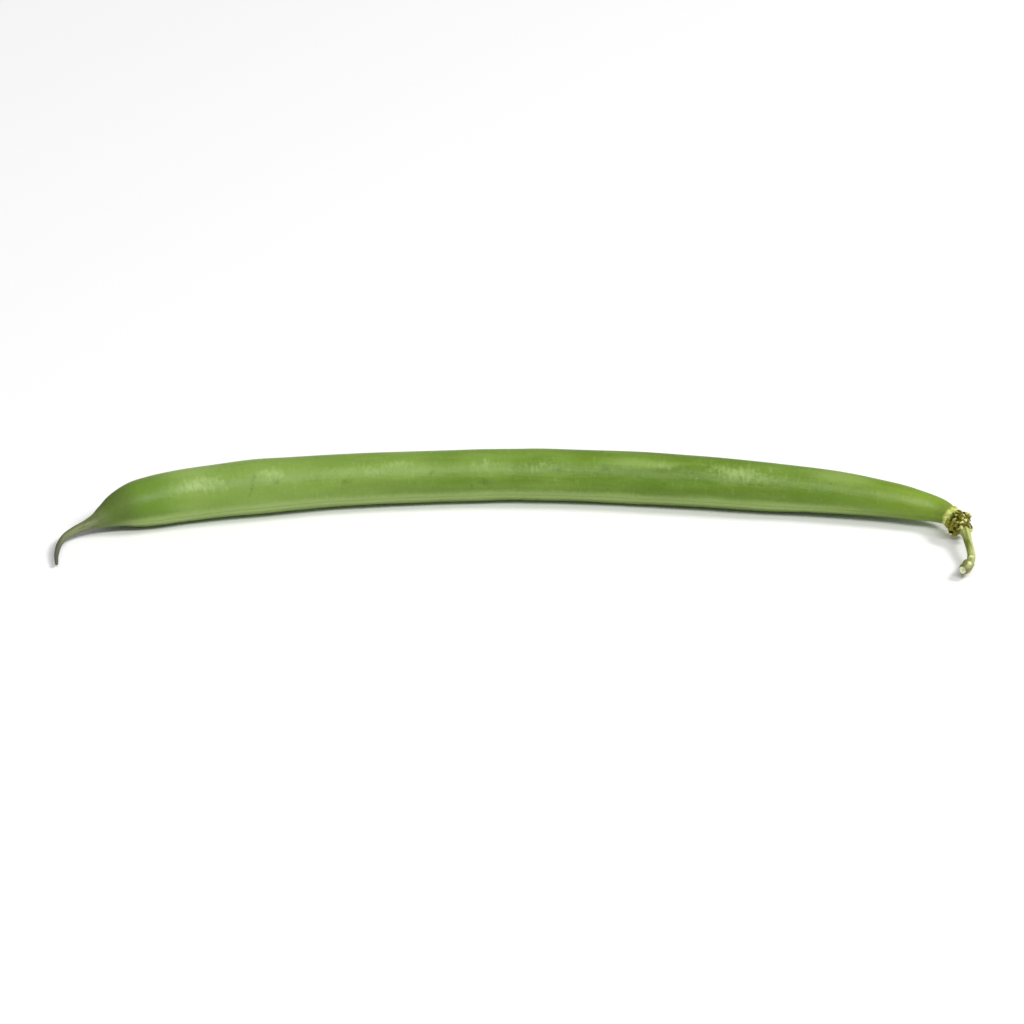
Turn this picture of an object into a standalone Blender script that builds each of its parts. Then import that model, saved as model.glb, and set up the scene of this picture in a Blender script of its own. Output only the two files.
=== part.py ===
"""A fresh green bean lying on its side: the pod with its beak, the calyx and the stalk.

The frame is in metres. X runs along the bean, with the stalk at +X and the beak at -X, Y runs across it
and Z is up. The origin is on the flat strip under the middle of the pod, in the plane that the bean lies on.
"""

import math
import random

import bmesh
import bpy
import numpy as np
from mathutils import Matrix, Vector

MM = 0.001

# One line runs through the whole bean, from the cut end of the stalk to the tip of the beak.
# Each row is a point on it in millimetres: along, across and up.
SPINE = (
    (72.8, -28.1, 1.90),
    (73.6, -27.2, 1.90),
    (74.4, -25.7, 1.93),
    (74.9, -23.9, 2.03),
    (75.0, -22.0, 2.23),
    (74.9, -19.7, 2.56),
    (74.8, -17.2, 2.86),
    (74.2, -14.8, 3.05),
    (73.0, -12.4, 3.20),
    (71.8, -10.9, 3.25),
    (66.8, -8.6, 3.50),
    (59.8, -6.6, 3.75),
    (51.6, -4.9, 3.90),
    (41.4, -3.5, 4.00),
    (31.1, -2.0, 4.07),
    (16.1, -0.3, 4.05),
    (0.0, 0.4, 4.05),
    (-15.0, -0.3, 4.07),
    (-31.2, -1.9, 4.14),
    (-44.4, -4.3, 4.28),
    (-50.7, -5.5, 4.18),
    (-57.0, -7.0, 4.05),
    (-61.3, -8.3, 3.95),
    (-64.4, -9.3, 3.78),
    (-67.6, -10.5, 3.30),
    (-69.3, -11.4, 2.87),
    (-71.0, -12.4, 2.47),
    (-72.6, -13.2, 2.13),
    (-74.4, -14.2, 1.82),
    (-76.2, -15.8, 1.55),
    (-77.4, -18.1, 1.25),
    (-78.0, -20.9, 0.92),
    (-78.1, -24.0, 0.65),
)

# Lengths along that line, and the gap that separate pieces keep where they meet, in millimetres.
STALK_LENGTH = 11.7
CALYX_LENGTH = 5.0
PIECE_GAP = 0.3

# Full-grown cross-section of the pod in millimetres: from seam to seam, and from side to side.
POD_DEPTH = 9.2
POD_WIDTH = 8.5
SEAM_ROLL = math.radians(22)  # how far the front seam lies below the level of the centre line

# Share of the full section at each distance from the neck, in millimetres.
POD_TAPER = (
    (0.0, 0.41),
    (3.2, 0.50),
    (6.7, 0.605),
    (14.0, 0.74),
    (22.3, 0.84),
    (32.7, 0.93),
    (43.7, 0.97),
    (90.7, 0.97),
    (106.7, 0.99),
    (117.7, 1.02),
    (125.7, 1.00),
    (132.2, 0.965),
    (136.7, 0.93),
    (140.2, 0.84),
    (143.5, 0.62),
    (145.7, 0.43),
    (147.7, 0.265),
    (149.7, 0.18),
    (151.7, 0.145),
    (154.2, 0.122),
    (157.2, 0.10),
    (160.2, 0.075),
    (163.7, 0.05),
)

# Seeds swell the two sides of the pod, each by a little more or less than its neighbours, in millimetres.
SEED_COUNT = 9
FIRST_SEED = 31.7
LAST_SEED = 130.7
SEED_REACH = 4.6
SEED_SWELL = (0.15, 0.26)
SEED_DRIFT = 0.9
SEED_ROUNDNESS = 1.5
RANDOM_SEED = 11

# The front seam is a fine groove between two low lips, and the back seam a single low rib, in millimetres.
GROOVE_DEPTH = 0.10
GROOVE_REACH = 0.30
LIP_HEIGHT = 0.09
LIP_OFFSET = 0.62
LIP_REACH = 0.34
RIB_HEIGHT = 0.14
RIB_REACH = 0.40
RELIEF_SHARES = (0.1, 0.6)  # the seams fade out between these shares of the full section

# Radius of the calyx at each distance from the stalk, in millimetres.
CALYX_RADIUS = (
    (0.0, 0.80),
    (0.7, 1.15),
    (1.6, 1.60),
    (2.6, 1.65),
    (3.5, 1.48),
    (4.3, 1.58),
    (5.0, 1.74),
)
CALYX_RIBS = 10
CALYX_RIB_HEIGHT = 0.05

# Teeth of the calyx, curled back towards the stalk, and the two bracteoles below them, in millimetres.
# A size is length, width and thickness, and a place is along the calyx and out from its middle.
TOOTH_COUNT = 5
TOOTH_FIRST_ANGLE = math.radians(24)
TOOTH_SIZE = (1.9, 1.45, 1.1)
TOOTH_PLACE = (2.6, 1.55)
TOOTH_LEAN = math.radians(50)
TOOTH_TURN_DRIFT = 0.12
TOOTH_LEAN_DRIFT = 0.2
BRACTEOLE_ANGLES = (math.radians(80), math.radians(215))
BRACTEOLE_SIZE = (1.5, 1.2, 0.95)
BRACTEOLE_PLACE = (1.2, 1.05)

# Radius of the stalk at each distance from its cut end, in millimetres, and the old scar on its side.
STALK_RADIUS = (
    (0.0, 0.62),
    (0.35, 0.86),
    (1.0, 0.96),
    (2.0, 0.86),
    (3.4, 0.74),
    (5.5, 0.68),
    (8.5, 0.68),
    (10.5, 0.73),
    (11.7, 0.80),
)
STALK_RIBS = 6
STALK_RIB_HEIGHT = 0.04
SCAR_ALONG = 2.2
SCAR_ANGLE = math.radians(60)
SCAR_HEIGHT = 0.26
SCAR_REACH = 0.7

# Each mesh's rings and sides, and how strongly the rings crowd to its ends and the sides to the seams.
POD_GRID = (100, 32)
POD_CROWDING = (0.6, 0.6)
CALYX_GRID = (16, 20)
CALYX_CROWDING = (0.2, 0.0)
STALK_GRID = (24, 18)
STALK_CROWDING = (0.3, 0.0)
SCALE_GRID = (10, 7)
WELD = 0.0000001  # metres
SHARP_EDGE = math.radians(50)

# Colour, linear, and roughness of each piece.
POD_LOOK = ((0.21, 0.34, 0.07), 0.42)
CALYX_LOOK = ((0.42, 0.40, 0.13), 0.65)
STALK_LOOK = ((0.34, 0.38, 0.14), 0.60)


def through(rows, at):
    """The smooth curve through rows, each a place followed by its values, read at the places asked for."""
    rows = np.array(rows, float)
    knots, values = rows[:, 0], rows[:, 1:]
    slopes = np.gradient(values, knots, axis=0)
    left = np.clip(np.searchsorted(knots, at, side="right") - 1, 0, len(knots) - 2)
    span = (knots[left + 1] - knots[left])[:, None]
    t = (at - knots[left])[:, None] / span
    start = (1 + 2 * t) * (1 - t) ** 2 * values[left] + t * (1 - t) ** 2 * span * slopes[left]
    end = t * t * (3 - 2 * t) * values[left + 1] - t * t * (1 - t) * span * slopes[left + 1]
    return start + end


def spine_rows():
    """The spine's points, each after its distance along the spine."""
    points = np.array(SPINE)
    steps = np.linalg.norm(np.diff(points, axis=0), axis=1)
    return np.column_stack([np.concatenate([[0], np.cumsum(steps)]), points])


SPINE_ROWS = spine_rows()
SPINE_LENGTH = SPINE_ROWS[-1, 0]
CALYX_START = STALK_LENGTH + PIECE_GAP
POD_START = CALYX_START + CALYX_LENGTH + PIECE_GAP


def spine_frame(at):
    """Centre, heading, direction of the front seam and direction of the upper side, for each distance."""
    step = 0.05
    centre = through(SPINE_ROWS, at)
    heading = through(SPINE_ROWS, at + step) - through(SPINE_ROWS, at - step)
    heading /= np.linalg.norm(heading, axis=1)[:, None]
    across = np.cross((0, 0, 1), heading)
    across /= np.linalg.norm(across, axis=1)[:, None]
    up = np.cross(heading, across)
    seam = across * math.cos(SEAM_ROLL) - up * math.sin(SEAM_ROLL)
    side = up * math.cos(SEAM_ROLL) + across * math.sin(SEAM_ROLL)
    return centre, heading, seam, side


def bump(distance, reach):
    return np.exp(-((distance / reach) ** 2))


def turn_from(angle, other):
    """The shorter way round from one angle to the other, without its sign."""
    return np.abs(np.angle(np.exp(1j * (angle - other))))


def seed_places():
    """How far each seed lies from the neck, and how much it swells the pod."""
    draw = random.Random(RANDOM_SEED)
    pitch = (LAST_SEED - FIRST_SEED) / (SEED_COUNT - 1)
    return [
        (FIRST_SEED + i * pitch + draw.uniform(-SEED_DRIFT, SEED_DRIFT), draw.uniform(*SEED_SWELL))
        for i in range(SEED_COUNT)
    ]


def pod_outline(along, angle):
    """How far the pod's skin stands out towards the front seam and towards the upper side."""
    share = through(POD_TAPER, along)[:, 0]
    half_depth = POD_DEPTH / 2 * share
    half_width = POD_WIDTH / 2 * share
    swell = sum(height * bump(along - place, SEED_REACH) for place, height in seed_places())
    half_width = half_width + swell * np.abs(np.sin(angle)) ** SEED_ROUNDNESS
    from_front = turn_from(angle, 0) * half_depth
    from_back = turn_from(angle, math.pi) * half_depth
    lips = LIP_HEIGHT * bump(from_front - LIP_OFFSET, LIP_REACH)
    groove = GROOVE_DEPTH * bump(from_front, GROOVE_REACH)
    rib = RIB_HEIGHT * bump(from_back, RIB_REACH)
    relief = (lips - groove + rib) * np.interp(share, RELIEF_SHARES, (0, 1))
    return (half_depth + relief) * np.cos(angle), (half_width + relief) * np.sin(angle)


def calyx_outline(along, angle):
    radius = through(CALYX_RADIUS, along)[:, 0] + CALYX_RIB_HEIGHT * np.cos(CALYX_RIBS * angle)
    return radius * np.cos(angle), radius * np.sin(angle)


def stalk_outline(along, angle):
    radius = through(STALK_RADIUS, along)[:, 0] + STALK_RIB_HEIGHT * np.cos(STALK_RIBS * angle)
    aside = turn_from(angle, SCAR_ANGLE) * radius
    radius += SCAR_HEIGHT * bump(np.hypot(along - SCAR_ALONG, aside), SCAR_REACH)
    return radius * np.cos(angle), radius * np.sin(angle)


def fine_near_ends(share, strength):
    """Spreads even shares from 0 to 1 so that they lie closer together at both ends."""
    return share - strength * np.sin(2 * math.pi * share) / (2 * math.pi)


def fine_near_seams(share, strength):
    """Turns even shares into angles once round from the underside, closer together at the two seams."""
    even = 2 * math.pi * share - math.pi / 2
    return even - strength * np.sin(2 * even) / 2


def rolled_mesh(name, start, length, outline, grid, crowding, origin):
    """A flat grid rolled round a stretch of the spine, welded along its underside and closed at its ends."""
    bm = bmesh.new()
    bmesh.ops.create_grid(bm, x_segments=grid[0], y_segments=grid[1], size=1)
    places = (np.array([vert.co.xy for vert in bm.verts]) + 1) / 2
    along = length * fine_near_ends(places[:, 0], crowding[0])
    angle = fine_near_seams(places[:, 1], crowding[1])
    to_seam, to_side = outline(along, angle)
    centre, _, seam, side = spine_frame(start + along)
    points = centre + to_seam[:, None] * seam + to_side[:, None] * side
    points[:, 2] = np.maximum(points[:, 2], 0)
    for vert, point in zip(bm.verts, points * MM):
        vert.co = Vector(point) - origin
    bmesh.ops.remove_doubles(bm, verts=bm.verts, dist=WELD)
    bmesh.ops.holes_fill(bm, edges=bm.edges, sides=0)
    bmesh.ops.recalc_face_normals(bm, faces=bm.faces)
    mesh = bpy.data.meshes.new(name)
    bm.to_mesh(mesh)
    bm.free()
    return mesh


def plant_material(name, look):
    colour, roughness = look
    material = bpy.data.materials.new(name)
    material.use_nodes = True
    shader = material.node_tree.nodes["Principled BSDF"]
    shader.inputs["Base Color"].default_value = (*colour, 1)
    shader.inputs["Roughness"].default_value = roughness
    shader.inputs["Metallic"].default_value = 0
    return material


def add_object(name, mesh, collection, parent, location, material):
    mesh.shade_smooth()
    mesh.set_sharp_from_angle(angle=SHARP_EDGE)
    mesh.materials.append(material)
    made = bpy.data.objects.new(name, mesh)
    collection.objects.link(made)
    made.parent = parent
    made.location = location
    return made


def spine_point(at):
    return Vector(through(SPINE_ROWS, np.array([at]))[0]) * MM


def make_pod(collection, parent):
    length = SPINE_LENGTH - POD_START
    mesh = rolled_mesh("pod", POD_START, length, pod_outline, POD_GRID, POD_CROWDING, Vector())
    return add_object("pod", mesh, collection, parent, Vector(), plant_material("pod_green", POD_LOOK))


def add_scale(name, size, place, angle, lean, collection, parent):
    """One small curled scale: a rounded lobe whose far end leans out and back towards the stalk."""
    along, out = place
    frame = spine_frame(np.array([CALYX_START + along]))
    centre, heading, seam, side = (Vector(row[0]) for row in frame)
    outwards = seam * math.cos(angle) + side * math.sin(angle)
    length_way = outwards * math.sin(lean) - heading * math.cos(lean)
    width_way = heading.cross(outwards)
    thickness_way = length_way.cross(width_way)
    turn = Matrix((length_way, width_way, thickness_way)).transposed().to_4x4()
    bm = bmesh.new()
    bmesh.ops.create_uvsphere(bm, u_segments=SCALE_GRID[0], v_segments=SCALE_GRID[1], radius=MM / 2)
    bmesh.ops.scale(bm, vec=size, verts=bm.verts)
    bmesh.ops.transform(bm, matrix=turn, verts=bm.verts)
    mesh = bpy.data.meshes.new(name)
    bm.to_mesh(mesh)
    bm.free()
    scale = bpy.data.objects.new(name, mesh)
    collection.objects.link(scale)
    scale.parent = parent
    scale.location = (centre + outwards * out) * MM
    return scale


def add_scales(scales, parent):
    draw = random.Random(RANDOM_SEED)
    for i in range(TOOTH_COUNT):
        angle = TOOTH_FIRST_ANGLE + i * 2 * math.pi / TOOTH_COUNT
        angle += draw.uniform(-TOOTH_TURN_DRIFT, TOOTH_TURN_DRIFT)
        lean = TOOTH_LEAN + draw.uniform(-TOOTH_LEAN_DRIFT, TOOTH_LEAN_DRIFT)
        add_scale(f"tooth_{i}", TOOTH_SIZE, TOOTH_PLACE, angle, lean, scales, parent)
    for i, angle in enumerate(BRACTEOLE_ANGLES):
        add_scale(f"bracteole_{i}", BRACTEOLE_SIZE, BRACTEOLE_PLACE, angle, TOOTH_LEAN, scales, parent)


def fuse_scales(calyx, scales):
    """Joins every scale to the calyx as one body, then clears the loose ones away."""
    union = calyx.modifiers.new("fuse", "BOOLEAN")
    union.operation = "UNION"
    union.operand_type = "COLLECTION"
    union.collection = scales
    union.solver = "EXACT"
    bpy.context.view_layer.update()
    graph = bpy.context.evaluated_depsgraph_get()
    fused = bpy.data.meshes.new_from_object(calyx.evaluated_get(graph))
    calyx.modifiers.remove(union)
    calyx.data = fused
    for scale in list(scales.objects):
        bpy.data.objects.remove(scale)


def make_calyx(collection, scales, parent):
    origin = spine_point(CALYX_START)
    shape = (calyx_outline, CALYX_GRID, CALYX_CROWDING)
    mesh = rolled_mesh("calyx", CALYX_START, CALYX_LENGTH, *shape, origin)
    husk = plant_material("calyx_husk", CALYX_LOOK)
    calyx = add_object("calyx", mesh, collection, parent, origin, husk)
    add_scales(scales, parent)
    fuse_scales(calyx, scales)
    return calyx


def make_stalk(collection, parent):
    origin = spine_point(STALK_LENGTH)
    mesh = rolled_mesh("stalk", 0, STALK_LENGTH, stalk_outline, STALK_GRID, STALK_CROWDING, origin)
    return add_object("stalk", mesh, collection, parent, origin, plant_material("stalk_fibre", STALK_LOOK))


def clear_scene():
    for old in list(bpy.data.objects):
        bpy.data.objects.remove(old)


def new_collection(name):
    collection = bpy.data.collections.new(name)
    bpy.context.scene.collection.children.link(collection)
    return collection


def main():
    clear_scene()
    bean = new_collection("green_bean")
    scales = new_collection("calyx_scales")
    centre = bpy.data.objects.new("green_bean_centre", None)
    bean.objects.link(centre)
    make_pod(bean, centre)
    make_calyx(bean, scales, centre)
    make_stalk(bean, centre)


main()
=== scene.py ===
"""A fresh green bean lying on a pale studio floor: the pod with its beak, the calyx and the stalk.

Shapes are worked out in millimetres along one line, the spine, which runs through the whole bean from the
cut end of the stalk to the tip of the beak. Each mesh is scaled to metres as it is finished.
"""

import math
import random

import bmesh
import bpy
import numpy as np
from mathutils import Matrix, Vector, kdtree, noise


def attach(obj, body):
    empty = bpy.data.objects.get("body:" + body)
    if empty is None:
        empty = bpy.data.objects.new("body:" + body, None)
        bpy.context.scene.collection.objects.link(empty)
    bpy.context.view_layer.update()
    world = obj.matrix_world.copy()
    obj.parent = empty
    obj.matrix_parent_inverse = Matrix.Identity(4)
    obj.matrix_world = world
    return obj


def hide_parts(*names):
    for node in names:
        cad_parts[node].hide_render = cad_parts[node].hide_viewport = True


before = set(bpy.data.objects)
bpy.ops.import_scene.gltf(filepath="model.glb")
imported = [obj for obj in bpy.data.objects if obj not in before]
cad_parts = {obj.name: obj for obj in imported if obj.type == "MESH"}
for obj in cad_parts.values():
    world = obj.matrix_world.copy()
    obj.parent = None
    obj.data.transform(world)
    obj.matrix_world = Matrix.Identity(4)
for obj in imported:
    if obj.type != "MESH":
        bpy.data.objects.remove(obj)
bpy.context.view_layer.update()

MM = 0.001
BODY = "root"

# The camera stands where the photograph was taken from, in metres, and its sideways axis is level.
EYE = Vector((-0.1229, -1.0399, 0.5949))
TARGET = Vector((-0.0013, -0.0105, 0.0030))
VIEW_WIDTH = 0.1720
SENSOR = 36.0

# Points on the spine in millimetres, from the stalk's cut end to the beak's tip: along, across and up.
SPINE = (
    (72.8, -28.1, 1.90),
    (73.6, -27.2, 1.90),
    (74.4, -25.7, 1.93),
    (74.9, -23.9, 2.03),
    (75.0, -22.0, 2.23),
    (74.9, -19.7, 2.56),
    (74.8, -17.2, 2.86),
    (74.2, -14.8, 3.05),
    (73.0, -12.4, 3.20),
    (71.8, -10.9, 3.25),
    (66.8, -8.6, 3.50),
    (59.8, -6.6, 3.75),
    (51.6, -4.9, 3.90),
    (41.4, -3.5, 4.00),
    (31.1, -2.0, 4.07),
    (16.1, -0.3, 4.05),
    (0.0, 0.4, 4.05),
    (-15.0, -0.3, 4.07),
    (-31.2, -1.9, 4.14),
    (-44.4, -4.3, 4.28),
    (-50.7, -5.5, 4.18),
    (-57.0, -7.0, 4.05),
    (-61.3, -8.3, 3.95),
    (-64.4, -9.3, 3.78),
    (-67.6, -10.5, 3.30),
    (-69.3, -11.4, 2.87),
    (-71.0, -12.4, 2.47),
    (-72.6, -13.2, 2.13),
    (-74.4, -14.2, 1.82),
    (-76.2, -15.8, 1.55),
    (-77.4, -18.1, 1.25),
    (-78.0, -20.9, 0.92),
    (-78.1, -24.0, 0.65),
)
SEAM_ROLL = math.radians(22)  # how far the front seam lies below the level of the centre line
UP = (0.0, 0.0, 1.0)
HEADING_STEP = 0.05  # how far to either side of a place the line's heading is read
STATION_STEP = 0.1  # how far apart the spine is sampled to find which part of it a point lies beside
WELD = 0.0001  # points closer than this become one
SLIVER = 0.00001  # edges shorter than this are dissolved

# Distances along the spine at which the pieces begin, in millimetres.
CALYX_START = 12.0
POD_START = 17.3
POD_TUCK = 1.0  # the neck's end sits this deep in the calyx

# Full-grown section of the pod in millimetres, and its share at each distance from the neck.
POD_DEPTH = 9.2
POD_WIDTH = 8.5
POD_TAPER = (
    (-1.0, 0.28),
    (0.0, 0.375),
    (0.7, 0.415),
    (3.2, 0.50),
    (6.7, 0.605),
    (14.0, 0.74),
    (22.3, 0.84),
    (32.7, 0.93),
    (43.7, 0.97),
    (90.7, 0.97),
    (106.7, 0.99),
    (117.7, 1.02),
    (125.7, 1.00),
    (132.2, 0.965),
    (136.7, 0.93),
    (140.2, 0.84),
    (143.5, 0.62),
    (145.7, 0.43),
    (147.7, 0.265),
    (149.7, 0.18),
    (151.7, 0.145),
    (154.2, 0.122),
    (157.2, 0.10),
    (160.2, 0.075),
    (163.7, 0.05),
)
POD_RINGS = 560
POD_SIDES = 128
POD_CLOSING = 0.5

SEED_COUNT = 9
FIRST_SEED = 31.7
LAST_SEED = 130.7
SEED_REACH = 4.6
SEED_SWELL = (0.15, 0.26)
SEED_DRIFT = 0.9
SEED_ROUNDNESS = 1.5
RANDOM_SEED = 11

# The front seam is a fine groove between two low lips and wanders a little, and the back seam is a low rib.
GROOVE_DEPTH = 0.05
GROOVE_REACH = 0.20
LIP_HEIGHT = 0.07
LIP_OFFSET = 0.56
LIP_REACH = 0.36
RIB_HEIGHT = 0.14
RIB_REACH = 0.38
RELIEF_SHARES = (0.1, 0.6)
SEAM_CROWDING = 0.5
SEAM_WANDER = 0.22
WANDER_LENGTH = 13.0
WANDER_PLACE = (7.5, 0.5)  # where in the noise the wander is read
LUMP_HEIGHT = 0.11
LUMP_LENGTH = 8.0

# Marks on the pod's skin: distance from the neck, angle round it from the front seam in degrees, reach
# along and across in millimetres, slant in degrees, and how pale the mark is or, below nought, how dark.
# Pale marks less than 90 degrees round from the front seam are painted highlight, the others pale scuffs.
POD_MARKS = (
    (129.7, 75, 5.0, 1.6, 0, 0.90),
    (120.3, 60, 0.50, 3.0, 16, -0.65),
    (117.2, 79, 3.0, 1.2, 8, 0.80),
    (116.2, 57, 0.9, 0.55, -30, -0.80),
    (104.0, 48, 1.6, 0.75, -20, -0.90),
    (99.0, 73, 2.8, 1.1, 0, 0.60),
    (94.0, 84, 3.0, 0.9, 0, 0.60),
    (89.2, 58, 0.8, 0.6, 0, -0.80),
    (80.2, 78, 2.4, 1.0, 0, 0.55),
    (80.0, 34, 1.4, 0.7, 30, -0.90),
    (70.7, 71, 3.4, 1.2, 0, 0.42),
    (67.5, 60, 1.0, 0.8, 0, -0.80),
    (59.4, 66, 0.40, 1.5, 35, -0.70),
    (59.0, 66, 0.40, 1.3, -40, -0.60),
    (49.0, 84, 2.5, 0.9, 0, 0.60),
    (36.5, 80, 5.0, 1.4, 5, 1.00),
    (112.0, 215, 2.8, 1.1, 0, 0.70),
    (95.0, 158, 3.4, 1.2, -6, 0.80),
    (76.0, 238, 1.5, 0.7, 20, -0.80),
    (66.0, 148, 1.5, 0.7, -25, -0.80),
    (47.0, 205, 2.6, 1.0, -10, 0.70),
    (30.0, 250, 1.0, 0.7, 0, -0.70),
    (126.0, 190, 0.34, 2.0, -20, -0.80),
)

# Broad patches of the pod's green: distance from the neck, angle in degrees, reach along and across in
# millimetres, and how deep the green is or, below nought, how light. The light patches are partly painted
# highlight.
POD_TONES = (
    (140.2, 44, 3.2, 3.0, 1.0),
    (132.0, 122, 8.0, 2.2, -0.9),
    (108.0, 56, 6.0, 2.4, 0.6),
    (104.0, 24, 7.0, 2.0, -0.4),
    (84.2, 42, 6.0, 2.4, 0.7),
    (76.4, 67, 2.2, 3.0, -0.4),
    (54.0, 43, 9.0, 1.8, 1.0),
    (51.4, 84, 9.0, 1.2, -0.8),
    (44.0, 58, 5.0, 2.2, 0.8),
    (22.2, 42, 8.0, 1.6, 1.0),
    (19.4, 105, 7.0, 2.2, -0.8),
    (5.2, 61, 3.5, 1.2, -0.8),
    (3.2, 22, 3.0, 1.6, 0.8),
    (118.0, 200, 8.0, 2.2, 0.8),
    (98.0, 265, 8.0, 2.0, 0.7),
    (88.0, 170, 7.0, 2.0, -0.7),
    (62.0, 225, 9.0, 2.0, 0.9),
    (38.0, 165, 6.0, 2.2, -0.7),
    (25.0, 250, 6.0, 1.8, 0.6),
)

# Outline of the calyx's cup: distance along it and radius, in millimetres.
CUP_PROFILE = (
    (-0.3, 0.0),
    (-0.25, 0.62),
    (0.2, 0.95),
    (0.9, 1.20),
    (1.7, 1.50),
    (2.6, 1.60),
    (3.2, 1.52),
    (3.8, 1.58),
    (4.35, 1.73),
    (4.75, 1.85),
    (5.0, 1.80),
    (4.95, 1.5),
    (4.6, 1.0),
    (4.5, 0.0),
)
CUP_RINGS = 110
CUP_SIDES = 110
CUP_RIBS = 10
CUP_RIB_HEIGHT = 0.06
CUP_RIM = 4.35  # how far along the cup its rim lies
LEAST_RIBBED = 0.3  # radius within which a cup or a stalk has no ribs

# Teeth curl back from the cup, and two smaller scales, the bracteoles, sit below them. Each point of a curl
# is out from the spine and back along it, and a width is at a share of the curl's length.
TOOTH_COUNT = 5
TOOTH_FIRST_ANGLE = math.radians(24)
TOOTH_TURN_DRIFT = 0.12
TOOTH_LEAN_DRIFT = 0.2
TOOTH_ALONG = 2.6
TOOTH_CURL = (
    (0.70, -1.10),
    (1.35, -1.00),
    (1.90, -0.50),
    (2.10, 0.15),
    (1.90, 0.75),
    (1.45, 0.95),
    (1.15, 0.65),
)
TOOTH_WIDTH = ((0.0, 1.30), (0.35, 1.45), (0.75, 1.15), (1.0, 0.80))
TOOTH_THICKNESS = 0.55
BRACTEOLE_ANGLES = (math.radians(80), math.radians(215))
BRACTEOLE_ALONG = 1.2
BRACTEOLE_CURL = (
    (0.40, -0.80),
    (0.95, -0.75),
    (1.40, -0.35),
    (1.55, 0.15),
    (1.35, 0.60),
    (1.00, 0.65),
)
LOBE_RINGS = 30
LOBE_SIDES = 24
LOBE_CLOSINGS = (0.4, 0.5)  # how far from its root and from its tip a scale rounds off
MELT = 0.05
MELT_SMOOTHING = 3

# The knot of scales is warty: its olive is painted darker in its hollows as shade and paler on its warts as
# highlight, and the warts fade out between two distances from the cup's rim. Noise bends the warts, and
# finer
# noise roughens them: fineness and strength.
WART_SPACING = 0.62
WART_HEIGHT = 0.34
WART_CONTRAST = 1.3
WART_FADE = (1.8, 2.7)
WART_BEND = (0.7, 0.4)
WART_GRIT = (2.6, 0.3)

# Outline of the stalk from its hollowed cut end: distance along it and radius, in millimetres.
STALK_PROFILE = (
    (0.30, 0.0),
    (0.26, 0.30),
    (0.07, 0.52),
    (0.0, 0.66),
    (0.12, 0.80),
    (0.45, 0.91),
    (1.0, 0.96),
    (2.0, 0.86),
    (3.4, 0.74),
    (5.5, 0.68),
    (8.5, 0.68),
    (10.5, 0.73),
    (12.0, 0.84),
    (12.6, 0.60),
    (12.7, 0.0),
)
STALK_RINGS = 260
STALK_SIDES = 84
STALK_RIBS = 6
STALK_RIB_HEIGHT = 0.04
# Swellings of the stalk: distance from the cut end, angle round it in degrees, height, reach and how pale.
STALK_SCARS = (
    (2.2, 60, 0.26, 0.70, 0.0),
    (1.5, 135, 0.12, 0.48, 1.0),
    (3.8, 112, 0.12, 0.46, 1.0),
    (2.6, 190, 0.10, 0.36, 0.8),
    (4.4, 300, 0.08, 0.36, 0.8),
    (1.3, 330, 0.08, 0.32, 0.9),
)
SCAR_ROOT = 0.5  # the stalk swells as if it were at least this thick, so its hollow end stays even

# The pod's green runs in streaks between two colours, as sRGB values of 0 to 255. Tints are laid over it one
# after another, each with its strength and its colour.
POD_STREAKS = ((88, 117, 22), (98, 129, 31))
POD_TINTS = {
    "fine_streaks": (0.06, (126, 154, 66)),
    "blotches": (0.42, (122, 150, 60)),
    "towards_beak": (0.52, (132, 161, 76)),
    "deep_patches": (0.55, (84, 118, 14)),
    # light patches, partly painted highlight
    "light_and_highlight_patches": (0.50, (142, 168, 90)),
    # painted sheen over each seed
    "seed_sheen": (0.24, (138, 166, 82)),
    "faint_ticks": (0.10, (150, 174, 98)),
    # painted highlight on the pod's upper side, with pale scuffs round its back
    "highlights_and_scuffs": (0.74, (160, 184, 114)),
    "dark_marks": (0.45, (72, 94, 22)),
    "bloom": (0.10, (156, 178, 112)),
    "specks": (0.40, (74, 88, 30)),
    "neck": (0.45, (128, 154, 42)),
    "cup_shade": (0.35, (104, 112, 30)),
    "shoulder": (0.75, (96, 128, 36)),
    "wrist": (0.85, (82, 102, 44)),
    "wrist_flecks": (0.45, (94, 114, 22)),
    "beak": (0.90, (98, 106, 68)),
    "beak_fibres": (0.45, (148, 152, 116)),
    "tip": (0.90, (80, 82, 72)),
    "lips": (0.57, (166, 186, 116)),
    "seam_line": (0.20, (96, 118, 40)),
    "back_rib": (0.40, (146, 170, 90)),
}

# Stretches of the pod: the distances from the neck at which each begins and is full.
POD_STRETCHES = {
    "neck": (24, 2),
    "cup_shade": (2.6, 0.4),
    "past_neck": (3, 26),
    "towards_beak": (60, 122),
    "body": (148, 140),
    "shoulder": (131, 138),
    "wrist": (139, 144),
    "beak": (144.5, 150),
    "tip": (152, 160),
}
POD_ROUGHNESS = 0.25  # where the skin is at its glossiest
POD_SPECULAR = 0.28
POD_RELIEF = 0.00008  # metres, as every relief is
POD_GLOW = (0.12, 0.0012)  # how much light the flesh lets through and how far, in metres

# The calyx's knot goes from its hollows' colour, its own olive darkened as painted shade, to its warts', and
# its collar between two paler ones.
KNOT_COLOURS = ((74, 70, 0), (124, 122, 26))
COLLAR_COLOURS = ((178, 186, 84), (224, 230, 148))
# painted highlight on the wart tops
WART_HIGHLIGHT_TINT = (0.85, (214, 216, 144))
RIM_TINT = (0.70, (132, 144, 48))
CALYX_SPECK_TINT = (0.40, (84, 76, 26))
COLLAR_STRETCH = (3.0, 3.9)  # the distances along the calyx at which its collar begins and is full
RIM_STRETCH = (4.0, 4.9)
CALYX_ROUGHNESS = 0.55
CALYX_SPECULAR = 0.25
CALYX_RELIEF = 0.00006
CALYX_GLOW = (0.1, 0.0006)

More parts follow.
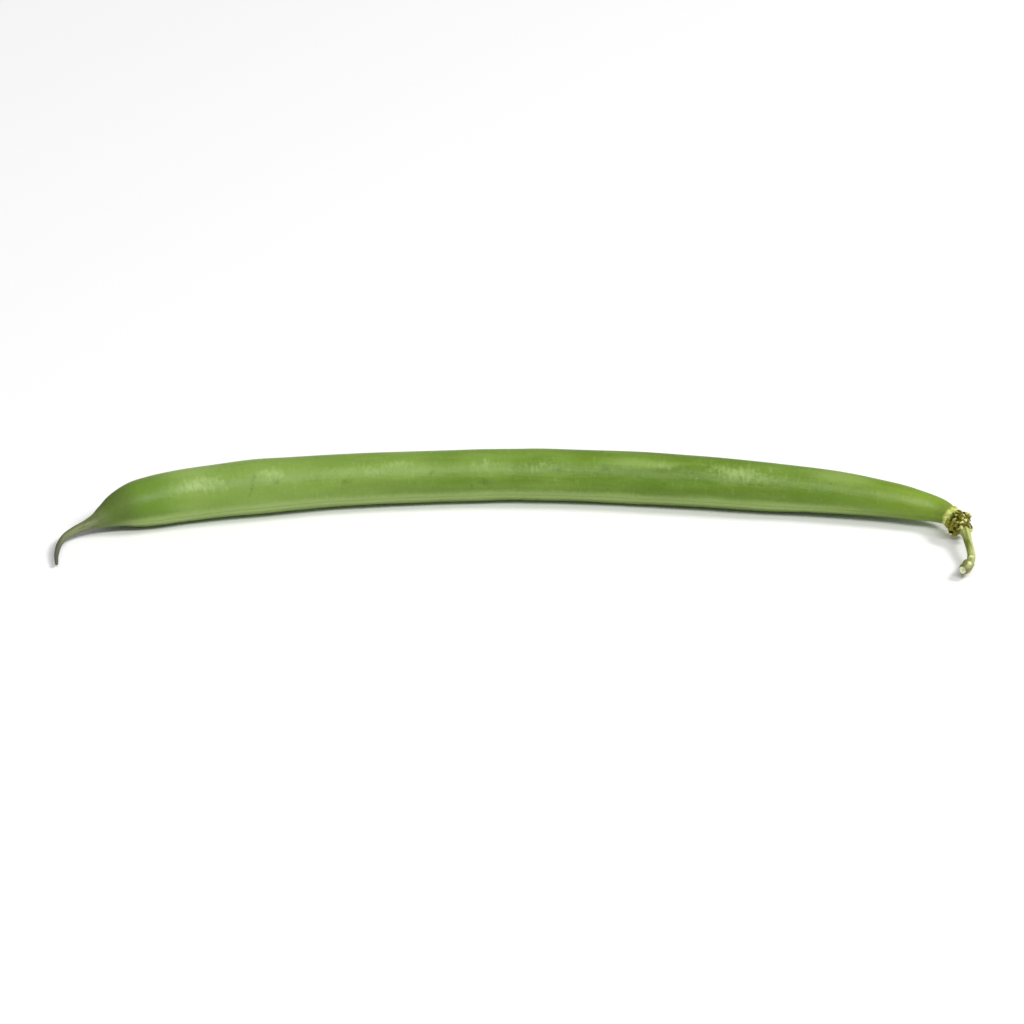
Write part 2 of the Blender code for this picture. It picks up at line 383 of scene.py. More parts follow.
# The stalk's fibres run between two colours, with tints laid over them as on the pod.
STALK_FIBRES = ((100, 112, 36), (184, 190, 114))
STALK_TINTS = {
    "mottle": (0.25, (170, 174, 106)),
    "near_end": (0.50, (106, 112, 54)),
    "scars": (0.90, (222, 224, 164)),
    "lenticels": (0.50, (92, 88, 44)),
    "rim": (0.60, (104, 98, 62)),
    "cut": (0.90, (234, 238, 198)),
    "pith": (0.50, (150, 150, 96)),
}
STALK_ROUGHNESS = 0.5
STALK_RELIEF = 0.00008
STALK_GLOW = (0.1, 0.0006)
FLESH_COLOUR = (0.6, 1.0, 0.3)  # how far red, green and blue light go through flesh, as shares

# Softboxes: where each stands, its width and its depth in metres, and its power in watts.
SOFTBOXES = {
    "right_softbox": ((0.86, 0.03, 0.94), 0.40, 0.35, 9.6),
    "main_softbox": ((0.12, -0.67, 1.05), 1.3, 0.28, 11.2),
}
SKY_STRENGTH = 0.29

# The floor is a wide disc a hair below the bean, in metres.
FLOOR_RADIUS = 3.0
FLOOR_SIDES = 96
FLOOR_DROP = 0.00002
FLOOR_WHITENESS = 0.88
FLOOR_ROUGHNESS = 0.75


def through(rows, at):
    """The smooth curve through rows, each a place followed by its values, read at the places asked for."""
    rows = np.array(rows, float)
    knots, values = rows[:, 0], rows[:, 1:]
    slopes = np.gradient(values, knots, axis=0)
    left = np.clip(np.searchsorted(knots, at, side="right") - 1, 0, len(knots) - 2)
    span = (knots[left + 1] - knots[left])[:, None]
    t = (at - knots[left])[:, None] / span
    start = (1 + 2 * t) * (1 - t) ** 2 * values[left] + t * (1 - t) ** 2 * span * slopes[left]
    end = t * t * (3 - 2 * t) * values[left + 1] - t * t * (1 - t) * span * slopes[left + 1]
    return start + end


def measured(points):
    """The points of a line, each after its distance along the line."""
    points = np.array(points, float)
    steps = np.linalg.norm(np.diff(points, axis=0), axis=1)
    return np.column_stack([np.concatenate([[0], np.cumsum(steps)]), points])


SPINE_ROWS = measured(SPINE)
SPINE_LENGTH = SPINE_ROWS[-1, 0]
POD_LENGTH = SPINE_LENGTH - POD_START


def line_frame(rows, at, level, roll):
    """Centre, heading and the two directions across a line, for each distance along it."""
    centre = through(rows, at)
    heading = through(rows, at + HEADING_STEP) - through(rows, at - HEADING_STEP)
    heading /= np.linalg.norm(heading, axis=1)[:, None]
    across = np.cross(level, heading)
    across /= np.linalg.norm(across, axis=1)[:, None]
    up = np.cross(heading, across)
    first = across * math.cos(roll) - up * math.sin(roll)
    second = up * math.cos(roll) + across * math.sin(roll)
    return centre, heading, first, second


def spine_frame(at):
    return line_frame(SPINE_ROWS, at, UP, SEAM_ROLL)


def bump(distance, reach):
    return np.exp(-((distance / reach) ** 2))


def turn_from(angle, other):
    """The shorter way round from one angle to the other, with its sign."""
    return np.angle(np.exp(1j * (angle - other)))


def rounded_end(distance, reach):
    """Rises from 0 at an end to 1 a reach away from it, as a quarter circle does."""
    return np.sqrt(np.clip(1 - (1 - np.clip(distance / reach, 0, 1)) ** 2, 0, 1))


def even_round(share):
    """Turns shares from 0 to 1 into angles once round, starting from the underside."""
    return 2 * math.pi * share - math.pi / 2


def noise_at(*parts):
    """Smooth noise from -1 to 1 at each place, given by its three coordinates."""
    return np.array([noise.noise(Vector(spot)) for spot in zip(*np.broadcast_arrays(*parts))])


def rolled(bm, rings, sides, skin, at_line):
    """Adds a flat grid rolled into a closed skin round a line, welded along its length and at its poles."""
    made = bmesh.ops.create_grid(bm, x_segments=rings, y_segments=sides, size=1)["verts"]
    places = (np.array([vert.co.xy for vert in made]) + 1) / 2
    along, to_first, to_second = skin(places[:, 0], places[:, 1])
    centre, _, first, second = at_line(along)
    points = centre + to_first[:, None] * first + to_second[:, None] * second
    for vert, point in zip(made, points):
        vert.co = point
    bmesh.ops.remove_doubles(bm, verts=made, dist=WELD)


def write_values(mesh, name, values):
    """Keeps a number, or three, for each point of the mesh."""
    single = values.ndim == 1
    kept = mesh.attributes.new(name, "FLOAT" if single else "FLOAT_VECTOR", "POINT")
    kept.data.foreach_set("value" if single else "vector", values.ravel())


def straight_places(mesh):
    """Where each point lies beside the straightened spine: along it, to the seam and to the side."""
    points = np.empty(len(mesh.vertices) * 3)
    mesh.vertices.foreach_get("co", points)
    points = points.reshape(-1, 3)
    stations = np.arange(0.0, SPINE_LENGTH, STATION_STEP)
    centre, heading, seam, side = spine_frame(stations)
    tree = kdtree.KDTree(len(stations))
    for i, spot in enumerate(centre):
        tree.insert(spot, i)
    tree.balance()
    nearest = np.array([tree.find(point)[1] for point in points])
    away = points - centre[nearest]
    along = stations[nearest] + np.einsum("ij,ij->i", away, heading[nearest])
    to_seam = np.einsum("ij,ij->i", away, seam[nearest])
    to_side = np.einsum("ij,ij->i", away, side[nearest])
    return np.column_stack([along, to_seam, to_side])


def near_mark(from_neck, angle, share, spot, degrees, reach_along, reach_across, slant=0):
    """How near each point of the pod is to a mark, from 1 at its middle down to 0."""
    away = from_neck - spot
    aside = turn_from(angle, math.radians(degrees)) * POD_DEPTH / 2 * share
    cos, sin = math.cos(math.radians(slant)), math.sin(math.radians(slant))
    lengthwise = (away * cos + aside * sin) / reach_along
    crosswise = (aside * cos - away * sin) / reach_across
    return bump(np.hypot(lengthwise, crosswise), 1)


def mark_pod(mesh, places):
    """Keeps how near each point of the pod is to the seams, to a seed and to each kind of mark."""
    from_neck = places[:, 0] - POD_START
    angle = np.arctan2(places[:, 2], places[:, 1])
    half_depth = POD_DEPTH / 2
    write_values(mesh, "front", turn_from(angle, 0) * half_depth - seam_wander(from_neck, 0))
    write_values(mesh, "back", turn_from(angle, math.pi) * half_depth - seam_wander(from_neck, 1))
    write_values(mesh, "seed", sum(bump(from_neck - spot, SEED_REACH) for spot, _ in seed_places()))
    at = (from_neck, angle, through(POD_TAPER, from_neck)[:, 0])
    write_values(mesh, "deep", sum(strength * near_mark(*at, *patch) for *patch, strength in POD_TONES))
    # Pale marks hold painted highlight on the upper side and pale scuffs round the back.
    marks = [(strength, near_mark(*at, *mark)) for *mark, strength in POD_MARKS]
    write_values(mesh, "highlight_and_scuff", sum(strength * near for strength, near in marks if strength > 0))
    write_values(mesh, "dark_mark", sum(-strength * near for strength, near in marks if strength < 0))


def finished(name, bm, material, replaced, marks=None):
    """Makes the piece from its shape in millimetres, and keeps where each point lies beside the spine."""
    for vert in bm.verts:
        vert.co.z = max(vert.co.z, 0)
    bmesh.ops.dissolve_degenerate(bm, dist=SLIVER, edges=bm.edges)
    bmesh.ops.recalc_face_normals(bm, faces=bm.faces)
    mesh = bpy.data.meshes.new(name)
    bm.to_mesh(mesh)
    bm.free()
    places = straight_places(mesh)
    write_values(mesh, "place", places)
    if marks:
        marks(mesh, places)
    mesh.transform(Matrix.Scale(MM, 4))
    mesh.shade_smooth()
    mesh.materials.append(material)
    piece = bpy.data.objects.new(name, mesh)
    bpy.context.scene.collection.objects.link(piece)
    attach(piece, BODY)
    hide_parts(replaced)
    return piece


def seed_places():
    """How far each seed lies from the neck, and how much it swells the pod."""
    draw = random.Random(RANDOM_SEED)
    pitch = (LAST_SEED - FIRST_SEED) / (SEED_COUNT - 1)
    return [
        (FIRST_SEED + i * pitch + draw.uniform(-SEED_DRIFT, SEED_DRIFT), draw.uniform(*SEED_SWELL))
        for i in range(SEED_COUNT)
    ]


def seam_wander(from_neck, seam):
    """How far a seam strays to either side of its line, the front seam being 0 and the back seam 1."""
    row, column = WANDER_PLACE
    return SEAM_WANDER * noise_at(from_neck / WANDER_LENGTH, row + seam, column)


def pod_skin(length_share, round_share):
    from_neck = -POD_TUCK + length_share * (POD_LENGTH + POD_TUCK)
    angle = even_round(round_share)
    angle = angle - SEAM_CROWDING * np.sin(2 * angle) / 2
    share = through(POD_TAPER, from_neck)[:, 0]
    half_depth = POD_DEPTH / 2 * share
    half_width = POD_WIDTH / 2 * share
    swell = sum(height * bump(from_neck - place, SEED_REACH) for place, height in seed_places())
    half_width = half_width + swell * np.abs(np.sin(angle)) ** SEED_ROUNDNESS
    from_front = turn_from(angle, 0) * half_depth - seam_wander(from_neck, 0) * share
    from_back = turn_from(angle, math.pi) * half_depth - seam_wander(from_neck, 1) * share
    lips = LIP_HEIGHT * bump(np.abs(from_front) - LIP_OFFSET, LIP_REACH)
    groove = GROOVE_DEPTH * bump(from_front, GROOVE_REACH)
    rib = RIB_HEIGHT * bump(from_back, RIB_REACH)
    relief = (lips - groove + rib) * np.interp(share, RELIEF_SHARES, (0, 1))
    relief += LUMP_HEIGHT * noise_at(from_neck / LUMP_LENGTH, np.cos(angle), np.sin(angle)) * share
    closing = rounded_end(from_neck + POD_TUCK, POD_CLOSING)
    closing *= rounded_end(POD_LENGTH - from_neck, POD_CLOSING)
    to_seam = (half_depth + relief) * np.cos(angle) * closing
    to_side = (half_width + relief) * np.sin(angle) * closing
    return POD_START + from_neck, to_seam, to_side


def profile_skin(profile, start, ribs, rib_height):
    """A round skin whose radius follows a profile of distances and radii, with ribs along it."""
    rows = measured(profile)
    rows[:, 0] /= rows[-1, 0]

    def skin(length_share, round_share):
        along, radius = through(rows, length_share).T
        angle = even_round(round_share)
        relief = rib_height * np.cos(ribs * angle) * np.clip(radius - LEAST_RIBBED, 0, 1)
        ribbed = np.maximum(radius, 0) + relief
        return start + along, ribbed * np.cos(angle), ribbed * np.sin(angle)

    return skin


def stalk_skin(length_share, round_share):
    plain = profile_skin(STALK_PROFILE, 0.0, STALK_RIBS, STALK_RIB_HEIGHT)
    along, to_seam, to_side = plain(length_share, round_share)
    radius = np.hypot(to_seam, to_side)
    swelling = np.zeros(len(radius))
    for spot, degrees, height, reach, _ in STALK_SCARS:
        aside = turn_from(even_round(round_share), math.radians(degrees)) * radius
        swelling += height * bump(np.hypot(along - spot, aside), reach)
    grown = 1 + swelling / np.maximum(radius, SCAR_ROOT)
    return along, to_seam * grown, to_side * grown


def mark_stalk(mesh, places):
    """Keeps how near each point of the stalk is to a pale scar."""
    angle = np.arctan2(places[:, 2], places[:, 1])
    radius = np.hypot(places[:, 1], places[:, 2])
    scars = np.zeros(len(places))
    for spot, degrees, _, reach, pale in STALK_SCARS:
        aside = turn_from(angle, math.radians(degrees)) * radius
        scars += pale * bump(np.hypot(places[:, 0] - spot, aside), reach)
    write_values(mesh, "scar", scars)


def add_lobe(bm, curl, station, angle, lean):
    """One scale of the calyx, curled back towards the stalk, with its root sunk in the cup."""
    centre, heading, seam, side = (row[0] for row in spine_frame(np.array([CALYX_START + station])))
    outwards = seam * math.cos(angle) + side * math.sin(angle)
    out_way = outwards * math.cos(lean) + heading * math.sin(lean)
    back_way = outwards * math.sin(lean) - heading * math.cos(lean)
    rows = measured([centre + out * out_way + back * back_way for out, back in curl])
    level = np.cross(heading, outwards)
    length = rows[-1, 0]

    def skin(length_share, round_share):
        turn = even_round(round_share)
        width = through(TOOTH_WIDTH, length_share)[:, 0] / 2
        closing = rounded_end(length_share * length, LOBE_CLOSINGS[0])
        closing *= rounded_end((1 - length_share) * length, LOBE_CLOSINGS[1])
        to_second = width * np.sin(turn) * closing
        to_first = TOOTH_THICKNESS / 2 * np.cos(turn) * closing
        return length_share * length, to_first, to_second

    rolled(bm, LOBE_RINGS, LOBE_SIDES, skin, lambda along: line_frame(rows, along, level, 0.0))


def fill_hollows(bm):
    """Deletes the small hollows that curled scales shut in, which leaves the outer skin alone."""
    left = set(bm.verts)
    skins = []
    while left:
        skin = []
        reached = [left.pop()]
        while reached:
            vert = reached.pop()
            skin.append(vert)
            nearby = {edge.other_vert(vert) for edge in vert.link_edges} & left
            left -= nearby
            reached.extend(nearby)
        skins.append(skin)
    outer = max(skins, key=len)
    for skin in skins:
        if skin is not outer:
            bmesh.ops.delete(bm, geom=skin, context="VERTS")


def melted(bm):
    """Joins overlapping shells into one smooth skin."""
    loose = bpy.data.meshes.new("loose")
    bm.to_mesh(loose)
    bm.free()
    holder = bpy.data.objects.new("loose", loose)
    bpy.context.scene.collection.objects.link(holder)
    remesh = holder.modifiers.new("melt", "REMESH")
    remesh.mode = "VOXEL"
    remesh.voxel_size = MELT
    smooth = holder.modifiers.new("smooth", "SMOOTH")
    smooth.iterations = MELT_SMOOTHING
    graph = bpy.context.evaluated_depsgraph_get()
    joined = bmesh.new()
    joined.from_mesh(holder.evaluated_get(graph).to_mesh())
    bpy.data.objects.remove(holder)
    bpy.data.meshes.remove(loose)
    fill_hollows(joined)
    return joined


def raise_warts(bm):
    """Raises warts on the knot's skin, and keeps for each point how near it is to the top of one."""
    noise.seed_set(RANDOM_SEED)
    bm.normal_update()
    wart = bm.verts.layers.float.new("wart")
    rim = Vector(through(SPINE_ROWS, np.array([CALYX_START + CUP_RIM]))[0])
    bend_fineness, bend = WART_BEND
    grit_fineness, grit = WART_GRIT
    for vert in bm.verts:
        spot = vert.co / WART_SPACING
        bent = spot + noise.noise_vector(spot * bend_fineness) * bend
        rough = noise.noise(bent) + grit * noise.noise(spot * grit_fineness)
        vert[wart] = min(max(0.5 + WART_CONTRAST * rough, 0.0), 1.0)
        fade = np.interp((vert.co - rim).length, WART_FADE, (0, 1))
        vert.co += vert.normal * WART_HEIGHT * (vert[wart] - 0.5) * fade


def place(tree, kind, inputs=(), **settings):
    """A new node with its settings, and its inputs as values or as the sockets that feed them."""
    node = tree.nodes.new(kind)
    for name, value in settings.items():
        setattr(node, name, value)
    for name, value in dict(inputs).items():
        if isinstance(value, bpy.types.NodeSocket):
            tree.links.new(value, node.inputs[name])
        else:
            node.inputs[name].default_value = value
    return node


def maths(tree, operation, *values):
    return place(tree, "ShaderNodeMath", enumerate(values), operation=operation).outputs[0]


def stretched(tree, where, scale):
    return place(tree, "ShaderNodeVectorMath", {0: where, 1: scale}, operation="MULTIPLY").outputs[0]


def cloud(tree, where, scale, detail=3.0, roughness=0.5):
    inputs = {"Vector": where, "Scale": scale, "Detail": detail, "Roughness": roughness}
    return place(tree, "ShaderNodeTexNoise", inputs).outputs["Fac"]


def step_between(tree, value, low, high):
    """Rises smoothly from 0 at low to 1 at high, or falls where low is the greater."""
    inputs = {"Value": value, "From Min": low, "From Max": high}
    return place(tree, "ShaderNodeMapRange", inputs, interpolation_type="SMOOTHSTEP").outputs["Result"]


def mixed(tree, share, under, over):
    return place(tree, "ShaderNodeMix", {0: share, 6: under, 7: over}, data_type="RGBA").outputs[2]


def colour(shades):
    """A colour from its red, green and blue sRGB values of 0 to 255, made linear."""
    shares = [shade / 255 for shade in shades]
    return (*(c / 12.92 if c <= 0.04045 else ((c + 0.055) / 1.055) ** 2.4 for c in shares), 1.0)


def between(tree, share, colours):
    """The colour a share of the way from the first of two colours to the second."""
    under, over = colours
    return mixed(tree, share, colour(under), colour(over))


def tinted(tree, under, mask, tint):
    """The colour under, turned by a mask towards a tint, which is a strength and a colour."""
    strength, over = tint
    return mixed(tree, maths(tree, "MULTIPLY", mask, strength), under, colour(over))


def laid_over(tree, under, tints, masks):
    """The colour under with each tint laid over it in turn, where the mask of the same name is."""
    for name, tint in tints.items():
        under = tinted(tree, under, masks[name], tint)
    return under


def where_both(tree, first, second):
    """A mask that covers only what two masks both cover."""
    return maths(tree, "MULTIPLY", first, second)


def weighted_sum(tree, layers, start=0.0):
    """A number that masks add to, each as much as its weight."""
    total = start
    for mask, weight in layers:
        total = maths(tree, "MULTIPLY_ADD", mask, weight, total)
    return total


def kept_value(tree, name):
    return place(tree, "ShaderNodeAttribute", attribute_name=name).outputs["Fac"]


def bean_place(tree):
    """The place beside the straightened spine, then its parts: along it, to the seam and to the side."""
    where = place(tree, "ShaderNodeAttribute", attribute_name="place").outputs["Vector"]
    return where, *place(tree, "ShaderNodeSeparateXYZ", {0: where}).outputs


def new_effect(name, numbers):
    """An empty effect: a node group that takes the place and some numbers and puts out one mask."""
    tree = bpy.data.node_groups.new(name, "ShaderNodeTree")
    tree.interface.new_socket("Mask", in_out="OUTPUT", socket_type="NodeSocketFloat")
    tree.interface.new_socket("Place", in_out="INPUT", socket_type="NodeSocketVector")
    for number in numbers:
        tree.interface.new_socket(number, in_out="INPUT", socket_type="NodeSocketFloat")
    return tree, place(tree, "NodeGroupInput").outputs


def streaks_effect():
    """Streaks that run along the bean, finer with a greater fineness."""
    tree, given = new_effect("streaks", ("Fineness",))
    drawn_out = stretched(tree, given["Place"], (0.10, 1.0, 1.0))
    streaks = step_between(tree, cloud(tree, drawn_out, given["Fineness"], 4.0), 0.34, 0.66)
    place(tree, "NodeGroupOutput", {"Mask": streaks})
    return tree


def mottle_effect():
    """Soft patches, smaller with a greater fineness."""
    tree, given = new_effect("mottle", ("Fineness",))
    patches = step_between(tree, cloud(tree, given["Place"], given["Fineness"], 3.0, 0.55), 0.38, 0.66)
    place(tree, "NodeGroupOutput", {"Mask": patches})
    return tree


def specks_effect():
    """Scattered specks: how closely they lie, how wide each is, and the share of them left out."""
    tree, given = new_effect("specks", ("Density", "Width", "Left Out"))
    cells = place(tree, "ShaderNodeTexVoronoi", {"Vector": given["Place"], "Scale": given["Density"]})
    draw = place(tree, "ShaderNodeSeparateColor", {0: cells.outputs["Color"]}).outputs[0]
    chosen = maths(tree, "GREATER_THAN", draw, given["Left Out"])
    inner = maths(tree, "MULTIPLY", given["Width"], 0.4)
    dots = step_between(tree, cells.outputs["Distance"], given["Width"], inner)
    place(tree, "NodeGroupOutput", {"Mask": maths(tree, "MULTIPLY", dots, chosen)})
    return tree


def effect(tree, group, where, **numbers):
    inputs = {"Place": where}
    for name, value in numbers.items():
        inputs[name.replace("_", " ").title()] = value
    return place(tree, "ShaderNodeGroup", inputs, node_tree=group).outputs["Mask"]


def new_material(name):
    """A material, its tree and its shader."""
    material = bpy.data.materials.new(name)
    material.use_nodes = True
    tree = material.node_tree
    return material, tree, tree.nodes["Principled BSDF"]


def add_relief(tree, shader, layers, depth):
    """Gives the shader small relief: masks that each come with a weight, depth metres high."""
    inputs = {"Strength": 1.0, "Distance": depth, "Height": weighted_sum(tree, layers)}
    relief = place(tree, "ShaderNodeBump", inputs)
    tree.links.new(relief.outputs["Normal"], shader.inputs["Normal"])


def add_flesh_glow(shader, weight, reach):
    """Lets a little light through the flesh, greener than it is red or blue."""
    shader.inputs["Subsurface Weight"].default_value = weight
    shader.inputs["Subsurface Radius"].default_value = FLESH_COLOUR
    shader.inputs["Subsurface Scale"].default_value = reach


def pod_layers(tree, where, streaks):
    """The streaks and grains that the pod's colour, gloss and relief share."""
    return {
        "broad": effect(tree, streaks, where, fineness=0.42),
        "fine": effect(tree, streaks, where, fineness=2.2),
        "grain": cloud(tree, where, 1.3, 3.0, 0.6),
        "ticks": cloud(tree, stretched(tree, where, (1.6, 0.5, 0.5)), 1.0, 3.0, 0.6),
        "pores": cloud(tree, where, 3.2, 2.0),
    }


def pod_mark_masks(tree, where, layers, mottle, specks):
    """Where the pod is patched, ticked, scuffed pale, scratched and speckled, with painted highlight
    and sheen on its upper pale marks, its light patches and its seeds.
    """
    grain, ticks = layers["grain"], layers["ticks"]
    deep = maths(tree, "SUBTRACT", kept_value(tree, "deep"), 0.3)
    patchy = maths(tree, "MULTIPLY_ADD", grain, 0.6, deep)
    over_seeds = step_between(tree, kept_value(tree, "seed"), 0.3, 1.0)
    tick_patches = effect(tree, mottle, where, fineness=0.21)
    spotted = maths(tree, "MULTIPLY", maths(tree, "ADD", grain, ticks), 0.5)
    # painted highlight and pale scuffs, broken up by grain and ticks
    scuffed_and_lit = maths(tree, "MULTIPLY_ADD", kept_value(tree, "highlight_and_scuff"), 0.35, spotted)
    scratched = maths(tree, "MULTIPLY_ADD", kept_value(tree, "dark_mark"), 0.5, grain)
    return {
        "fine_streaks": layers["fine"],
        "blotches": effect(tree, mottle, stretched(tree, where, (0.45, 1.0, 1.0)), fineness=0.2),
        "deep_patches": step_between(tree, patchy, 0.1, 0.9),
        # light patches, partly painted highlight
        "light_and_highlight_patches": step_between(tree, patchy, -0.1, -0.8),
        # painted sheen over the seeds, broken up by the broad streaks
        "seed_sheen": where_both(tree, over_seeds, layers["broad"]),
        "faint_ticks": where_both(tree, step_between(tree, ticks, 0.50, 0.70), tick_patches),
        "highlights_and_scuffs": step_between(tree, scuffed_and_lit, 0.52, 0.98),
        "dark_marks": step_between(tree, scratched, 0.58, 1.0),
        "bloom": step_between(tree, cloud(tree, where, 7.0, 2.0), 0.45, 0.75),
        "specks": effect(tree, specks, where, density=0.42, width=0.15, left_out=0.8),
    }


def pod_stretch_masks(tree, where, along, layers, mottle):
    """Where each stretch of the pod lies, with flecks on the wrist and fibres on the beak."""
    masks = {
        name: step_between(tree, along, POD_START + start, POD_START + full)
        for name, (start, full) in POD_STRETCHES.items()
    }
    masks["wrist_flecks"] = where_both(tree, masks["wrist"], effect(tree, mottle, where, fineness=0.9))
    masks["beak_fibres"] = where_both(tree, masks["beak"], layers["fine"])
    return masks


def pod_seam_masks(tree, stretches, grain):
    """Where the seams show, and the shoulder's dark green, which stays off the front seam."""
    from_front = maths(tree, "ABSOLUTE", kept_value(tree, "front"))
    from_back = maths(tree, "ABSOLUTE", kept_value(tree, "back"))
    worn = maths(tree, "MULTIPLY_ADD", grain, 0.8, maths(tree, "SUBTRACT", from_front, 0.4))
    body = stretches["body"]
    lipped = where_both(tree, body, stretches["past_neck"])
    off_seam = step_between(tree, from_front, 0.2, 1.8)
    return {
        "shoulder": where_both(tree, stretches["shoulder"], off_seam),
        "lips": where_both(tree, step_between(tree, worn, 1.7, 0.1), lipped),
        "seam_line": where_both(tree, step_between(tree, from_front, 0.22, 0.04), body),
        "back_rib": where_both(tree, step_between(tree, from_back, 0.75, 0.2), body),
    }


def pod_material(streaks, mottle, specks):
    material, tree, shader = new_material("pod_skin")
    where, along, _, _ = bean_place(tree)
    layers = pod_layers(tree, where, streaks)
    marks = pod_mark_masks(tree, where, layers, mottle, specks)
    stretches = pod_stretch_masks(tree, where, along, layers, mottle)
    masks = {**marks, **stretches, **pod_seam_masks(tree, stretches, layers["grain"])}
    green = laid_over(tree, between(tree, layers["broad"], POD_STREAKS), POD_TINTS, masks)
    tree.links.new(green, shader.inputs["Base Color"])
    dulling = ((layers["fine"], 0.06), (layers["grain"], 0.25), (stretches["wrist"], 0.22))
    tree.links.new(weighted_sum(tree, dulling, POD_ROUGHNESS), shader.inputs["Roughness"])
    relief = (
        (layers["pores"], 0.5),
        (layers["fine"], 0.15),
        (layers["ticks"], 0.6),
        (layers["grain"], 0.8),
        (marks["dark_marks"], -0.4),
    )
    add_relief(tree, shader, relief, POD_RELIEF)
    add_flesh_glow(shader, *POD_GLOW)
    shader.inputs["Specular IOR Level"].default_value = POD_SPECULAR
    return material


def calyx_material(mottle, specks):
    material, tree, shader = new_material("calyx_skin")
    where, along, to_seam, _ = bean_place(tree)
    wart = kept_value(tree, "wart")
    flecks = effect(tree, mottle, where, fineness=2.2)
    # Painted highlight: pale wart tops, kept to the side away from the front seam.
    off_seam = step_between(tree, to_seam, 1.5, 0.1)
    wart_highlights = where_both(tree, step_between(tree, wart, 0.62, 1.0), off_seam)
    collar, rim = (
        step_between(tree, along, CALYX_START + start, CALYX_START + full)
        for start, full in (COLLAR_STRETCH, RIM_STRETCH)
    )
    dots = effect(tree, specks, where, density=1.2, width=0.25, left_out=0.75)
    # Painted shade: the knot darkens from its warts into its hollows.
    husk = between(tree, step_between(tree, wart, 0.10, 0.70), KNOT_COLOURS)
    husk = tinted(tree, husk, wart_highlights, WART_HIGHLIGHT_TINT)
    husk = mixed(tree, collar, husk, between(tree, flecks, COLLAR_COLOURS))
    husk = tinted(tree, husk, rim, RIM_TINT)
    husk = tinted(tree, husk, dots, CALYX_SPECK_TINT)
    tree.links.new(husk, shader.inputs["Base Color"])
    shader.inputs["Roughness"].default_value = CALYX_ROUGHNESS
    shader.inputs["Specular IOR Level"].default_value = CALYX_SPECULAR
    grain = cloud(tree, where, 5.0, 3.0)
    add_relief(tree, shader, ((grain, 0.6), (flecks, 0.4)), CALYX_RELIEF)
    add_flesh_glow(shader, *CALYX_GLOW)
    return material


def stalk_material(streaks, mottle, specks):
    material, tree, shader = new_material("stalk_skin")
    where, along, to_seam, to_side = bean_place(tree)
    fibres = effect(tree, streaks, where, fineness=1.6)
    grain = cloud(tree, where, 4.0, 3.0)
    scarred = maths(tree, "MULTIPLY_ADD", grain, 0.5, kept_value(tree, "scar"))
    squares = maths(tree, "MULTIPLY_ADD", to_seam, to_seam, maths(tree, "MULTIPLY", to_side, to_side))
    from_axis = maths(tree, "SQRT", squares)
    in_end = step_between(tree, along, 0.42, 0.30)
    cut = where_both(tree, in_end, step_between(tree, from_axis, 0.72, 0.55))
    masks = {
        "mottle": effect(tree, mottle, where, fineness=0.9),
        "near_end": step_between(tree, along, 4.6, 2.0),
        "scars": step_between(tree, scarred, 0.45, 1.15),
        "lenticels": effect(tree, specks, where, density=1.0, width=0.22, left_out=0.6),
        "rim": step_between(tree, along, 0.75, 0.35),
        "cut": cut,
        "pith": where_both(tree, cut, step_between(tree, from_axis, 0.22, 0.14)),
    }
    skin = laid_over(tree, between(tree, fibres, STALK_FIBRES), STALK_TINTS, masks)
    tree.links.new(skin, shader.inputs["Base Color"])
    shader.inputs["Roughness"].default_value = STALK_ROUGHNESS
    add_relief(tree, shader, ((fibres, 0.9), (grain, 0.5)), STALK_RELIEF)
    add_flesh_glow(shader, *STALK_GLOW)
    return material


def make_pod(material):
    bm = bmesh.new()
    rolled(bm, POD_RINGS, POD_SIDES, pod_skin, spine_frame)
    return finished("pod_detailed", bm, material, "pod", mark_pod)


def make_calyx(material):
    bm = bmesh.new()
    cup = profile_skin(CUP_PROFILE, CALYX_START, CUP_RIBS, CUP_RIB_HEIGHT)
    rolled(bm, CUP_RINGS, CUP_SIDES, cup, spine_frame)
    draw = random.Random(RANDOM_SEED)
    for i in range(TOOTH_COUNT):
        angle = TOOTH_FIRST_ANGLE + i * 2 * math.pi / TOOTH_COUNT
        angle += draw.uniform(-TOOTH_TURN_DRIFT, TOOTH_TURN_DRIFT)
        lean = draw.uniform(-TOOTH_LEAN_DRIFT, TOOTH_LEAN_DRIFT)
        add_lobe(bm, TOOTH_CURL, TOOTH_ALONG, angle, lean)
    for angle in BRACTEOLE_ANGLES:
        add_lobe(bm, BRACTEOLE_CURL, BRACTEOLE_ALONG, angle, 0.0)
    bm = melted(bm)
    raise_warts(bm)
    return finished("calyx_detailed", bm, material, "calyx")


def make_stalk(material):
    bm = bmesh.new()
    rolled(bm, STALK_RINGS, STALK_SIDES, stalk_skin, spine_frame)
    return finished("stalk_detailed", bm, material, "stalk", mark_stalk)


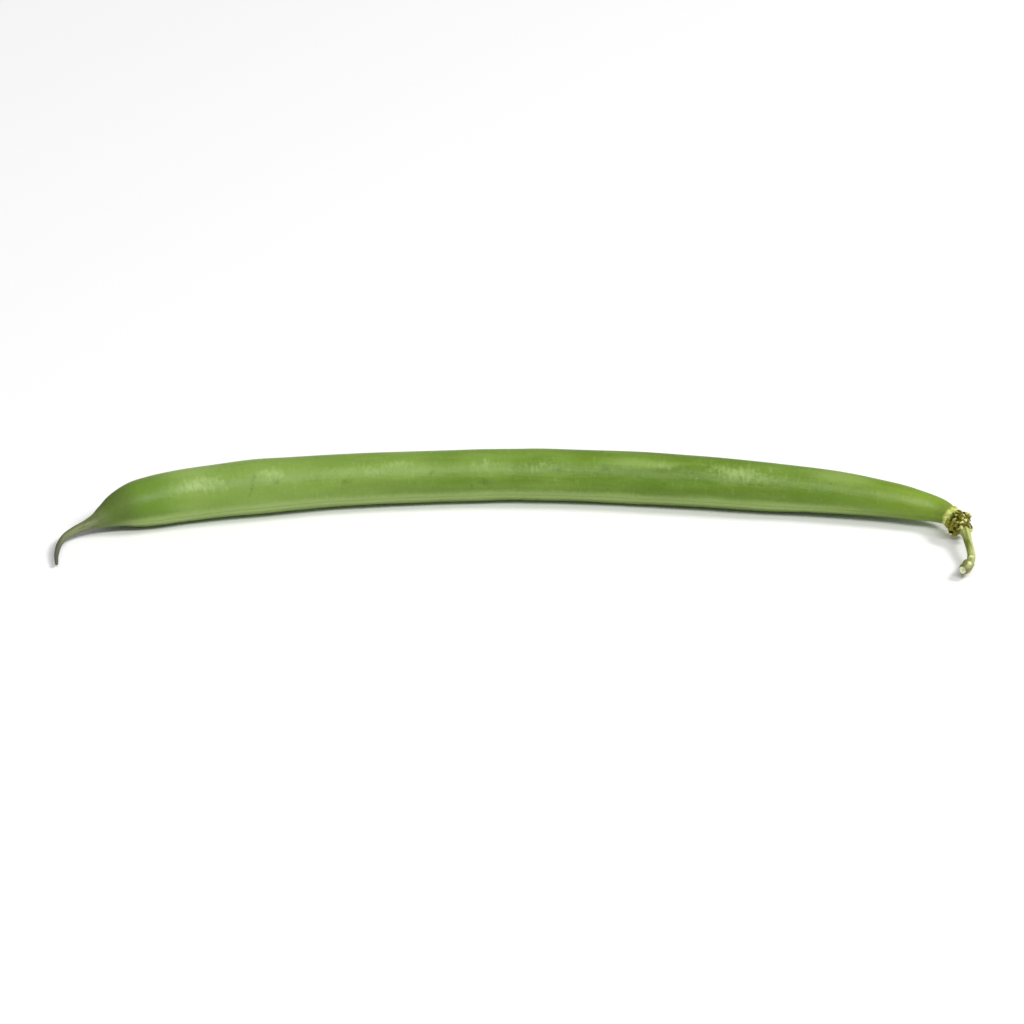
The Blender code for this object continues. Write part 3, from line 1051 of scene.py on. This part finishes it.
def make_floor():
    bm = bmesh.new()
    bmesh.ops.create_circle(bm, cap_ends=True, segments=FLOOR_SIDES, radius=FLOOR_RADIUS)
    bmesh.ops.translate(bm, verts=bm.verts, vec=(0, 0, -FLOOR_DROP))
    mesh = bpy.data.meshes.new("floor")
    bm.to_mesh(mesh)
    bm.free()
    material, _, shader = new_material("floor_white")
    shader.inputs["Base Color"].default_value = (FLOOR_WHITENESS, FLOOR_WHITENESS, FLOOR_WHITENESS, 1)
    shader.inputs["Roughness"].default_value = FLOOR_ROUGHNESS
    mesh.materials.append(material)
    floor = bpy.data.objects.new("floor", mesh)
    bpy.context.scene.collection.objects.link(floor)
    return floor


def add_softbox(name, spot, width, depth, power):
    """A soft area light that faces the bean."""
    light = bpy.data.lights.new(name, "AREA")
    light.shape = "RECTANGLE"
    light.size = width
    light.size_y = depth
    light.energy = power
    lamp = bpy.data.objects.new(name, light)
    lamp.location = spot
    lamp.rotation_euler = (-Vector(spot)).to_track_quat("-Z", "Y").to_euler()
    bpy.context.scene.collection.objects.link(lamp)
    return lamp


def light_scene():
    for name, (spot, width, depth, power) in SOFTBOXES.items():
        add_softbox(name, spot, width, depth, power)
    world = bpy.data.worlds.new("studio")
    world.use_nodes = True
    background = world.node_tree.nodes["Background"]
    background.inputs["Color"].default_value = (1, 1, 1, 1)
    background.inputs["Strength"].default_value = SKY_STRENGTH
    bpy.context.scene.world = world


def aim_camera():
    data = bpy.data.cameras.new("camera")
    data.sensor_width = SENSOR
    data.lens = SENSOR * (TARGET - EYE).length / VIEW_WIDTH
    camera = bpy.data.objects.new("camera", data)
    back = (EYE - TARGET).normalized()
    right = Vector((1, 0, 0))
    right = (right - right.project(back)).normalized()
    turn = Matrix((right, back.cross(right), back)).transposed().to_4x4()
    camera.matrix_world = Matrix.Translation(EYE) @ turn
    bpy.context.scene.collection.objects.link(camera)
    bpy.context.scene.camera = camera


def main():
    aim_camera()
    light_scene()
    make_floor()
    streaks, mottle, specks = streaks_effect(), mottle_effect(), specks_effect()
    make_pod(pod_material(streaks, mottle, specks))
    make_calyx(calyx_material(mottle, specks))
    make_stalk(stalk_material(streaks, mottle, specks))
    bpy.context.scene.view_settings.view_transform = "Standard"


main()
